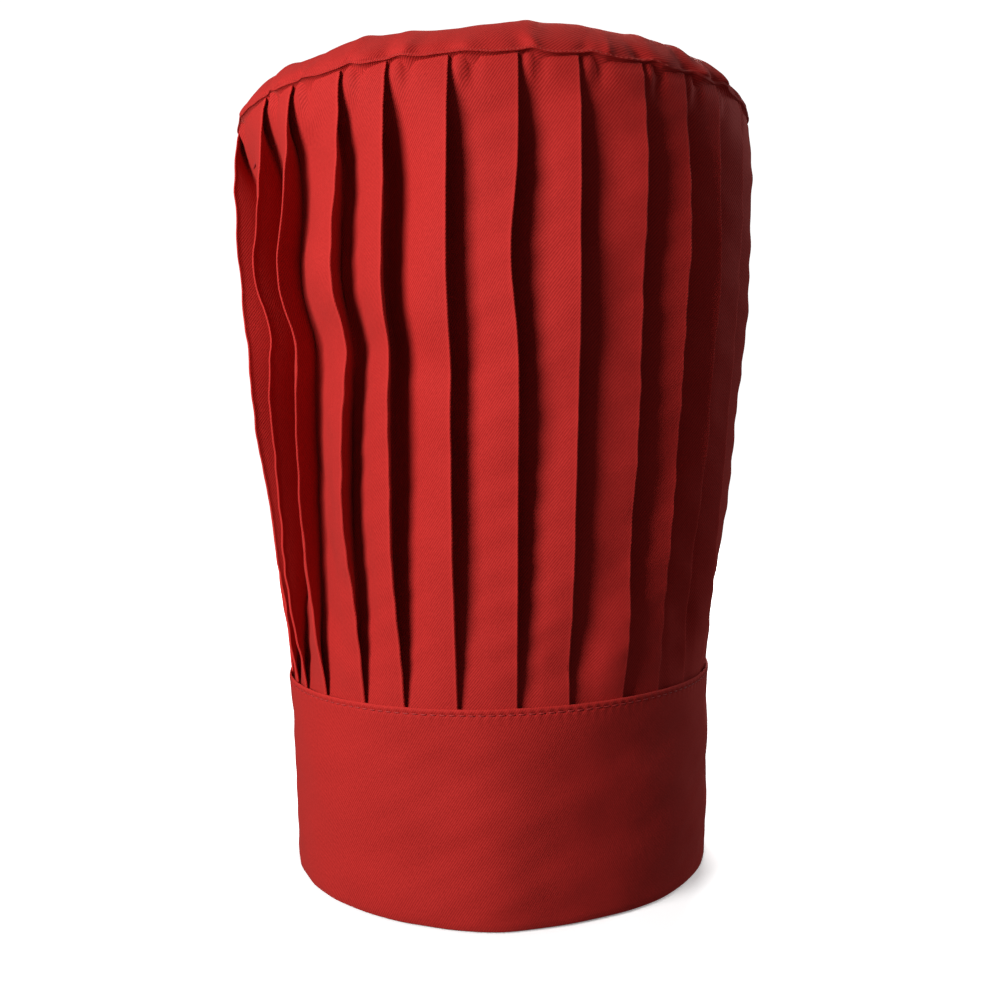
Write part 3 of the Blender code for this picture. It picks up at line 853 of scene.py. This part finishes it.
coreLow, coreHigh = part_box("band_interlining")
coreProfile = [(bandRadius(h) - 0.0012, h) for h in np.linspace(coreLow.z + 0.0015, coreHigh.z, 30)]
bandCore = ringSheet("bandInterlining", coreProfile, coreWhite, (182.5, 537.5),
                     bend=bandShape)
thicken(bandCore, 0.0005)
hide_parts("band_interlining")
tapeProfile = [(tapeHigh.x - 0.0002, h) for h in np.linspace(tapeHigh.z - 0.0104, tapeHigh.z, 6)]
seamTape = ringSheet("crownSeamTape", tapeProfile, tapeRed, (0.0, 360.0))
thicken(seamTape, 0.0006)
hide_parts("crown_seam_tape")
print("band made")

# Closure tab: one folded tongue of cloth that crosses the peel joint

tabLow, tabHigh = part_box("tab_cloth")
peel = next(j for j in frame["joints"] if j["name"] == "tab_peel")
flip = next(j for j in frame["joints"] if j["name"] == "label_flip")

tab = {
    "length": 0.072,
    "root": 0.013,
    "thickness": 0.0015,
    "corner": 0.012,
    "lift": 0.0025,
    "ramp": 0.010,
    "inset": 0.0025,
    "stitchPitch": 0.0034,
    "stitchLength": 0.0025,
}
tabStart = math.degrees(math.atan2(peel["pos_m"][0], -peel["pos_m"][1]))
tabMiddle = (tabLow.z + tabHigh.z) / 2
tabHalf = (tabHigh.z - tabLow.z) / 2


def tabAngle(along):
    return tabStart + np.degrees(along / (bandRadiusTop + 0.0015))


# Gap between the band's outer face and the tab's inner face
def tabLift(along):
    ramp = smooth(0.0, tab["ramp"], along)
    rest = 0.0003 + (tab["lift"] - 0.0003) * ramp
    return np.where(along < 0, -0.0026 + 0.0029 * smooth(-0.0016, 0.0, along), rest)


# Half of the tab's height, rounded at the corners of its free end
def tabHalfHeight(along):
    into = np.clip(along - (tab["length"] - tab["corner"]), 0.0, tab["corner"])
    return tabHalf - tab["corner"] + np.sqrt(np.maximum(tab["corner"] ** 2 - into**2, 0.0))


# Less waviness where the stiff hook patch is sewn behind the tab
def tabEase(along):
    return 1.0 - 0.85 * smooth(0.022, 0.036, along)


def buildTab():
    along = np.concatenate([np.linspace(-tab["root"], -0.002, 10), np.linspace(-0.0014, 0.002, 10),
                            np.linspace(0.003, tab["length"] - tab["corner"], 90),
                            tab["length"] - tab["corner"]
                            + tab["corner"] * np.sin(np.linspace(0.05, 1.5608, 22))])
    outline = []
    turn = np.linspace(0, math.pi, 9)
    soft = 0.0006
    half = tab["thickness"] / 2
    for share in np.linspace(-1, 1, 36):
        outline.append((share, 1.0, 0.0))
    for bend in turn[1:-1]:
        outline.append((1.0, math.cos(bend), math.sin(bend) * soft))
    for share in np.linspace(1, -1, 36):
        outline.append((share, -1.0, 0.0))
    for bend in turn[1:-1]:
        outline.append((-1.0, -math.cos(bend), -math.sin(bend) * soft))
    share, face, over = (values[None, :] for values in np.array(outline).T)
    a = along[:, None]
    tall = tabMiddle + share * (tabHalfHeight(a) - soft) + over
    near = np.minimum(tab["length"] - a, (1 - np.abs(share)) * tabHalfHeight(a))
    edge = smooth(0.0, 0.0016, near)
    sewn = hump(near, tab["inset"], 0.0011)
    full = half * (0.55 + 0.45 * edge) - 0.00018 * sewn
    angle = tabAngle(a) + 0 * share
    wave = 0.0005 * waves(a + 0 * share, tall, 0.030, 31) * smooth(0.004, 0.02, a) * tabEase(a)
    curl = 0.0009 * smooth(tab["length"] - 0.020, tab["length"], a)
    middle = bandRadius(tall) + tabLift(a) + half + wave + curl
    points = polar(angle, middle + full * face, tall)
    uv = np.stack([a + 0 * share + 0.3, tall + 0.2 * (face < 0)], axis=-1)
    faces = barFaces(len(along), len(outline))
    # Lighter colour towards the tab's edges
    tab_wear_and_highlight = (1 - edge) * 0.5 * np.abs(face)
    made = addMesh("tabCloth", points, faces, uv.reshape(-1, 2), {"wear_and_highlight": tab_wear_and_highlight})
    dress(made, bandCloth)
    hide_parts("tab_cloth", "tab_root")
    return made


tabPiece = buildTab()
print("tab made")


# A point on the tab's outer (side 1) or inner (side -1) face, moved out of the cloth by out
def tabPoint(along, tall, side, out):
    half = tab["thickness"] / 2
    middle = bandRadius(tall) + tabLift(along) + half
    wave = 0.0005 * waves(along, tall, 0.030, 31) * smooth(0.004, 0.02, along) * tabEase(along)
    curl = 0.0009 * smooth(tab["length"] - 0.020, tab["length"], along)
    return polar(tabAngle(along), middle + wave + curl + side * (half + out), tall)


# A path round the tab's free sides, that far in from its edge
def tabOutline(inset):
    straight = tab["length"] - tab["corner"]
    low = np.linspace(0.004, straight, 60)
    bend = np.linspace(0, math.pi / 2, 18)
    reach = tab["corner"] - inset
    along = np.concatenate([low, straight + reach * np.sin(bend)])
    drop = np.concatenate([0 * low + tabHalf - inset, tabHalf - tab["corner"] + reach * np.cos(bend)])
    end = np.linspace(-1, 1, 24)[1:-1]
    along = np.concatenate([along, 0 * end + tab["length"] - inset, along[::-1]])
    tall = np.concatenate([tabMiddle - drop, tabMiddle + end * (tabHalf - tab["corner"]),
                           tabMiddle + drop[::-1]])
    return along, tall


def buildTabStitches():
    along, tall = tabOutline(tab["inset"])
    parts = []
    for side in (1, -1):
        path = tabPoint(along, tall, side, -0.00010)
        away = tabPoint(along, tall, side, 1.0) - path
        away /= np.linalg.norm(away, axis=1)[:, None]
        parts += stitchRow(path, tab["stitchPitch"], tab["stitchLength"], 0.0004, away)
    made = gather("tabStitches", parts)
    dress(made, threadRed)
    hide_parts("tab_topstitch")
    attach(made, "closure_tab")


buildTabStitches()

# Hook and loop

grip = {
    "hookSpacing": 0.0019,
    "hookTall": 0.0007,
    "loopCount": 2600,
    "base": 0.0005,
}


# The woven base of a fastener patch, following the band, with slightly rounded edges
def patchPlate(name, low, high, startAlong, endAlong, inner, outer, material):
    along = np.linspace(startAlong, endAlong, 40)[:, None]
    rim = 0.0004
    outline = [(low, inner), (low, outer - rim), (low + rim, outer)]
    outline += [(h, outer) for h in np.linspace(low + 0.003, high - 0.003, 12)]
    outline += [(high - rim, outer), (high, outer - rim), (high, inner)]
    outline += [(h, inner) for h in np.linspace(high - 0.003, low + 0.003, 12)]
    tall, reach = (values[None, :] + 0 * along for values in np.array(outline).T)
    points = polar(tabAngle(along) + 0 * tall, bandRadius(tall) + reach, tall)
    faces = barFaces(len(along), len(outline))
    uv = np.stack([along + 0 * tall, tall], axis=-1).reshape(-1, 2)
    made = addMesh(name, points, faces, uv)
    return dress(made, material)


def patchSpan(node):
    low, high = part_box(node)
    points = np.array([v.co for v in frame["nodes"][node].data.vertices])
    angle = np.degrees(np.arctan2(points[:, 0], -points[:, 1])) % 360.0
    along = np.radians(angle - tabStart) * (bandRadiusTop + 0.0015)
    return float(along.min()), float(along.max()), low.z, high.z


def buildPatches():
    hookStart, hookEnd, low, high = patchSpan("hook_patch")
    loopStart, loopEnd, loopBase, loopTop = patchSpan("loop_patch")
    inner = tab["lift"]
    plate = patchPlate("hookPatch", low, high, hookStart, hookEnd, inner - grip["base"], inner - 0.0001,
                       hookBlack)
    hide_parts("hook_patch")
    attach(plate, "closure_tab")
    parts = []
    spacing = grip["hookSpacing"]
    for i, along in enumerate(np.arange(hookStart + 0.0020, hookEnd - 0.0018, spacing)):
        for j, tall in enumerate(np.arange(low + 0.0020, high - 0.0018, spacing)):
            lean = 1.0 if i % 2 else -1.0
            bend = np.linspace(0, 1, 7)
            height = grip["hookTall"] * np.sin(np.minimum(bend * 1.25, 1.0) * math.pi / 2)
            height = height - 0.00030 * np.clip(bend - 0.72, 0, 1) / 0.28
            side = lean * 0.00042 * smooth(0.45, 1.0, bend)
            spot = tall + (0.5 * spacing if i % 2 else 0.0)
            radius = bandRadius(spot) + inner - grip["base"] - height
            points = polar(tabAngle(along + 0 * bend), radius, spot + side)
            parts.append(tubeAlong(points, 0.00010, 4))
    hooks = gather("hooks", parts)
    dress(hooks, hookBlack)
    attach(hooks, "closure_tab")
    pad = patchPlate("loopPatch", loopBase, loopTop, loopStart, loopEnd, 0.0002, 0.0002 + grip["base"],
                     loopBlack)
    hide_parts("loop_patch")
    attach(pad, "cap")
    parts = []
    picks = np.random.default_rng(4)
    for _ in range(grip["loopCount"]):
        along = picks.uniform(loopStart + 0.0022, loopEnd - 0.0022)
        tall = picks.uniform(loopBase + 0.0022, loopTop - 0.0022)
        heading = picks.uniform(0, 2 * math.pi)
        reach = picks.uniform(0.0005, 0.0010)
        height = picks.uniform(0.00030, 0.00055)
        bend = np.linspace(0, math.pi, 5)
        out = grip["base"] + 0.00018 + height * np.sin(bend)
        shift = reach * np.cos(bend)
        spotTall = tall + shift * math.sin(heading)
        points = polar(tabAngle(along + shift * math.cos(heading)), bandRadius(spotTall) + out, spotTall)
        parts.append(tubeAlong(points, 0.00005, 3))
    loops = gather("loops", parts)
    dress(loops, loopBlack)
    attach(loops, "cap")
    # Stitches holding each patch down, just inside its edge.
    inFromEdge = 0.0013
    rowsOfStitches = (
        ("hookPatchStitches", (hookStart, hookEnd, low, high), inner - grip["base"], "closure_tab"),
        ("loopPatchStitches", (loopStart, loopEnd, loopBase, loopTop), 0.0002 + grip["base"], "cap"),
    )
    for name, span, out, body in rowsOfStitches:
        a0, a1 = span[0] + inFromEdge, span[1] - inFromEdge
        z0, z1 = span[2] + inFromEdge, span[3] - inFromEdge
        corners = [(a0, z0), (a1, z0), (a1, z1), (a0, z1), (a0, z0)]
        along = np.concatenate([np.linspace(p[0], q[0], 30) for p, q in zip(corners, corners[1:])])
        tall = np.concatenate([np.linspace(p[1], q[1], 30) for p, q in zip(corners, corners[1:])])
        sign = -1.0 if body == "closure_tab" else 1.0
        path = polar(tabAngle(along), bandRadius(tall) + out - sign * 0.00005, tall)
        away = polar(tabAngle(along), sign + 0 * along, 0 * along)
        row = gather(name, stitchRow(path, 0.0028, 0.0021, 0.0003, away))
        dress(row, threadBlack)
        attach(row, body)


buildPatches()
print("hook and loop made")

# Slit facing, bartack and seam stitches

slit = {"width": 0.0050, "tall": 0.044, "thread": 0.0004}


def buildSlit():
    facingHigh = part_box("slit_facing")[1]
    half = 0.0012  # half the opening between the two facings
    for side, name in ((1.0, "slitFacingRight"), (-1.0, "slitFacingLeft")):
        across = np.linspace(0.0, slit["width"], 8)[:, None]
        tall = np.linspace(bandTop - 0.006, facingHigh.z, 40)[None, :]
        near = wallRadius(tall) - 0.0108 * pleatOpen(tall) - 0.0036
        angle = 180.0 + side * np.degrees((half + across) / near)
        points = polar(angle, near + 0 * across, tall + 0 * across)
        uv = np.stack([across + 0 * tall, tall + 0 * across], axis=-1)
        made = addMesh(name, points, gridFaces(8, 40, flip=side < 0), uv.reshape(-1, 2))
        thicken(made, 0.0004)
        dress(made, tapeRed)
        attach(made, "cap")
        if side > 0:
            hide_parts("slit_facing")


buildSlit()


def buildBartack():
    low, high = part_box("slit_bartack")
    middle = (low + high) / 2
    parts = []
    radius = float(high.y) + 0.0001
    for index in range(13):
        tall = middle.z - 0.0011 + 0.00018 * index
        across = np.linspace(-0.0035, 0.0035, 9)
        uneven = radius + 0.00012 * math.sin(index)
        points = polar(180.0 + np.degrees(across / radius), uneven, tall + 0 * across)
        parts.append(tubeAlong(points, 0.00016, 5))
    made = gather("slitBartack", parts)
    dress(made, threadRed)
    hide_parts("slit_bartack")
    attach(made, "cap")


buildBartack()


# Zigzag thread over the lower edge of the tape inside the crown seam
def buildOverlock():
    count = 260
    radius = tapeHigh.x - 0.0008
    angle = np.linspace(0, 360, count * 2, endpoint=False)
    tall = np.where(np.arange(count * 2) % 2 == 0, tapeLow.z + 0.0002, tapeLow.z + 0.0042)
    inside = np.where(np.arange(count * 2) % 2 == 0, 0.0, 0.00005)
    points = polar(angle, radius - 0.00022 - inside, tall)
    made = gather("seamOverlock", [tubeAlong(points, 0.00018, 5, closed=True)])
    dress(made, threadRed)
    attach(made, "cap")


buildOverlock()
print("slit, bartack and seam stitches made")

# Care label

tag = {"thickness": 0.00028, "curl": 0.0012}
labelLow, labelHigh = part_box("care_label")
labelRootLow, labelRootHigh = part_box("label_root")
labelTurn = math.degrees(math.atan2(flip["pos_m"][0], -flip["pos_m"][1]))


# A point on the label; out is measured inwards from the band's inner leaf
def labelPoint(across, tall, out):
    radius = bandRadius(tall) - band["thickness"] - 0.00075 - out
    return polar(labelTurn + np.degrees(across / radius), radius, tall)


def buildLabel():
    half = 0.0110
    across = np.linspace(-half, half, 24)[:, None]
    tall = np.concatenate([np.linspace(labelRootHigh.z, labelRootLow.z, 6),
                           np.linspace(labelHigh.z, labelLow.z, 50)])[None, :]
    hang = np.clip((flip["pos_m"][2] - tall) / 0.038, 0, 1)
    out = 0.0006 * hang + tag["curl"] * 0.3 * hang**2 * (across / half) ** 2 + 0.0002 * np.sin(hang * 9)
    points = labelPoint(across + 0 * tall, tall + 0 * across, out)
    uv = np.stack([across + 0 * tall, tall + 0 * across], axis=-1)
    made = addMesh("careLabel", points, gridFaces(24, tall.shape[1]), uv.reshape(-1, 2))
    thicken(made, tag["thickness"])
    settle(made)
    dress(made, labelWhite)
    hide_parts("care_label", "label_root")
    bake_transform(made)
    spots = np.linspace(-half + 0.0006, half - 0.0006, 60)
    level = (labelRootHigh.z + labelRootLow.z) / 2 + 0 * spots
    path = labelPoint(spots, level, tag["thickness"] - 0.00005)
    away = -polar(labelTurn + 0 * spots, 1.0 + 0 * spots, 0 * spots)
    row = gather("labelStitches", stitchRow(path, 0.0024, 0.0018, 0.0003, away))
    dress(row, threadRed)
    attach(row, "cap")


buildLabel()
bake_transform(tabPiece)
print("label made")

# Floor, light and camera

stageLook = {"floor": 1.5, "wall": 2.6, "tall": 3.2, "glow": 0.36, "farGlow": 0.92}


# A pale round floor that curves up into a wall on every side
def buildStage():
    turn = np.linspace(0, 2 * math.pi, 96, endpoint=False)
    path = [(0.0, 0.0), (0.4, 0.0), (0.9, 0.0), (stageLook["floor"], 0.0)]
    for bend in np.radians([15, 30, 45, 60, 75, 90]):
        reach = stageLook["wall"] - stageLook["floor"]
        path.append((stageLook["floor"] + reach * math.sin(bend), reach * (1 - math.cos(bend))))
    path.append((stageLook["wall"], stageLook["tall"]))
    points = [(r * math.sin(t), -r * math.cos(t), z) for t in turn for r, z in path]
    floor = addMesh("floor", points, gridFaces(len(turn), len(path), closed=True, flip=True))
    floor.location.z = -0.0004
    floor.visible_diffuse = False  # keeps its bounce out of the folds
    floor.visible_glossy = False
    material = plainMaterial("pale backdrop", (0.88, 0.88, 0.88), 0.9)
    tree = material.node_tree
    shader = tree.nodes["Principled BSDF"]
    place = tree.nodes.new("ShaderNodeNewGeometry")
    measure = tree.nodes.new("ShaderNodeVectorMath")
    measure.operation = "LENGTH"
    tree.links.new(place.outputs["Position"], measure.inputs[0])
    spread = tree.nodes.new("ShaderNodeMapRange")
    spread.inputs["From Min"].default_value = 0.30
    spread.inputs["From Max"].default_value = 1.1
    spread.inputs["To Min"].default_value = stageLook["glow"]
    spread.inputs["To Max"].default_value = stageLook["farGlow"]
    tree.links.new(measure.outputs["Value"], spread.inputs["Value"])
    clear = tree.nodes.new("ShaderNodeMapRange")  # no glow on the floor under the hat
    clear.inputs["From Min"].default_value = 0.082
    clear.inputs["From Max"].default_value = 0.088
    tree.links.new(measure.outputs["Value"], clear.inputs["Value"])
    shader.inputs["Emission Color"].default_value = (1, 1, 1, 1)
    tree.links.new(mathNode(tree, "MULTIPLY", spread.outputs["Result"], clear.outputs["Result"]),
                   shader.inputs["Emission Strength"])
    floor.data.materials.append(material)


def addArea(name, spot, aim, size, power):
    data = bpy.data.lights.new(name, "AREA")
    data.shape = "DISK"
    data.size = size
    data.energy = power
    made = bpy.data.objects.new(name, data)
    made.location = spot
    made.rotation_mode = "QUATERNION"
    made.rotation_quaternion = (Vector(aim) - Vector(spot)).to_track_quat("-Z", "Y")
    scene.collection.objects.link(made)
    return made


lights = {
    "keyAngle": -46.0, "keyRise": 17.0, "keyAway": 0.84, "keySize": 0.42, "keyPower": 10.2,
    "rimAngle": 168.0, "rimRise": 26.0, "rimAway": 1.2, "rimSize": 0.6, "rimPower": 19.0,
    "sideAngle": 112.0, "sideRise": 20.0, "sideAway": 1.2, "sideSize": 0.6, "sidePower": 3.0,
    "world": 0.14,
}


def buildLights():
    centre = Vector((0, 0, 0.17))
    for name in ("key", "rim", "side"):
        turn, rise = math.radians(lights[name + "Angle"]), math.radians(lights[name + "Rise"])
        way = Vector((math.sin(turn) * math.cos(rise), -math.cos(turn) * math.cos(rise), math.sin(rise)))
        addArea(name, centre + way * lights[name + "Away"], centre, lights[name + "Size"],
                lights[name + "Power"])
    world = bpy.data.worlds.new("studio")
    world.use_nodes = True
    world.node_tree.nodes["Background"].inputs["Color"].default_value = (1, 1, 1, 1)
    world.node_tree.nodes["Background"].inputs["Strength"].default_value = lights["world"]
    scene.world = world
    scene.view_settings.view_transform = "Standard"


shot = {"away": 0.455, "height": 0.177, "pitch": 3.17, "roll": -1.2, "lens": 37.4, "shift": 0.005}


def buildCamera():
    data = bpy.data.cameras.new("view")
    data.lens = shot["lens"]
    data.sensor_width = 36.0
    data.shift_x = shot["shift"]
    data.clip_start = 0.01
    made = bpy.data.objects.new("view", data)
    made.location = (0.0, -shot["away"], shot["height"])
    level = Vector((0, math.cos(math.radians(shot["pitch"])), -math.sin(math.radians(shot["pitch"]))))
    turn = level.to_track_quat("-Z", "Y").to_matrix()
    roll = math.radians(shot["roll"])
    made.rotation_mode = "QUATERNION"
    made.rotation_quaternion = (turn @ Matrix.Rotation(roll, 3, "Z")).to_quaternion()
    scene.collection.objects.link(made)
    scene.camera = made


buildStage()
buildLights()
buildCamera()
print("stage made")
